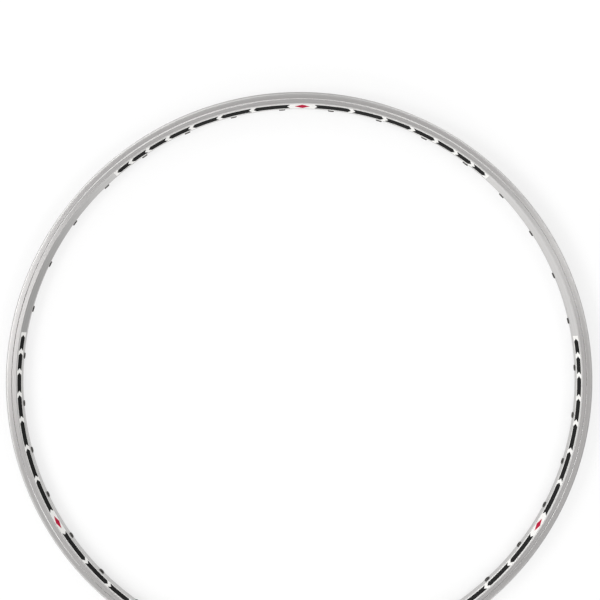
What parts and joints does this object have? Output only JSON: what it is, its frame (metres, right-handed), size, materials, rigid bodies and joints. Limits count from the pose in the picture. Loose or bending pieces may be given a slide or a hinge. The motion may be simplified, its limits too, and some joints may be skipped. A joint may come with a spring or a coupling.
{
  "type": "bicycle rim",
  "caption": "Double-wall aluminium bicycle rim with hooked flanges, turned brake tracks, steel eyelets in the spoke holes, a valve hole and printed sidewall decals.",
  "frame": {"origin": "the wheel's centre: on the axle line, midway between the two brake tracks", "axes": "+Z along the axle line, out of the side that the picture shows; +Y towards the joint, opposite the valve hole"},
  "size_m": [0.6344, 0.6344, 0.0224],
  "materials": {
    "rim_aluminium": "satin anodised, turned bright on the brake tracks",
    "eyelet_steel": "pressed steel, dull plated",
    "sleeve_aluminium": "as extruded",
    "white_vinyl": "gloss vinyl film",
    "black_ink": "printed black",
    "red_ink": "printed red"
  },
  "bodies": {
    "root": {"rim_hoop": "rim_aluminium", "joint_sleeve": "sleeve_aluminium", "eyelet_01": "eyelet_steel", "eyelet_02": "eyelet_steel", "eyelet_03": "eyelet_steel", "eyelet_04": "eyelet_steel", "eyelet_05": "eyelet_steel", "eyelet_06": "eyelet_steel", "eyelet_07": "eyelet_steel", "eyelet_08": "eyelet_steel", "eyelet_09": "eyelet_steel", "eyelet_10": "eyelet_steel", "eyelet_11": "eyelet_steel", "eyelet_12": "eyelet_steel", "eyelet_13": "eyelet_steel", "eyelet_14": "eyelet_steel", "eyelet_15": "eyelet_steel", "eyelet_16": "eyelet_steel", "eyelet_17": "eyelet_steel", "eyelet_18": "eyelet_steel", "eyelet_19": "eyelet_steel", "eyelet_20": "eyelet_steel", "eyelet_21": "eyelet_steel", "eyelet_22": "eyelet_steel", "eyelet_23": "eyelet_steel", "eyelet_24": "eyelet_steel", "eyelet_25": "eyelet_steel", "eyelet_26": "eyelet_steel", "eyelet_27": "eyelet_steel", "eyelet_28": "eyelet_steel", "eyelet_29": "eyelet_steel", "eyelet_30": "eyelet_steel", "eyelet_31": "eyelet_steel", "eyelet_32": "eyelet_steel", "eyelet_33": "eyelet_steel", "eyelet_34": "eyelet_steel", "eyelet_35": "eyelet_steel", "eyelet_36": "eyelet_steel", "decal_film_upper_1": "white_vinyl", "decal_bars_upper_1": "black_ink", "decal_mark_upper_1": "red_ink", "decal_film_upper_2": "white_vinyl", "decal_bars_upper_2": "black_ink", "decal_mark_upper_2": "red_ink", "decal_film_upper_3": "white_vinyl", "decal_bars_upper_3": "black_ink", "decal_mark_upper_3": "red_ink", "decal_film_lower_1": "white_vinyl", "decal_bars_lower_1": "black_ink", "decal_mark_lower_1": "red_ink", "decal_film_lower_2": "white_vinyl", "decal_bars_lower_2": "black_ink", "decal_mark_lower_2": "red_ink", "decal_film_lower_3": "white_vinyl", "decal_bars_lower_3": "black_ink", "decal_mark_lower_3": "red_ink"}
  },
  "joints": []
}
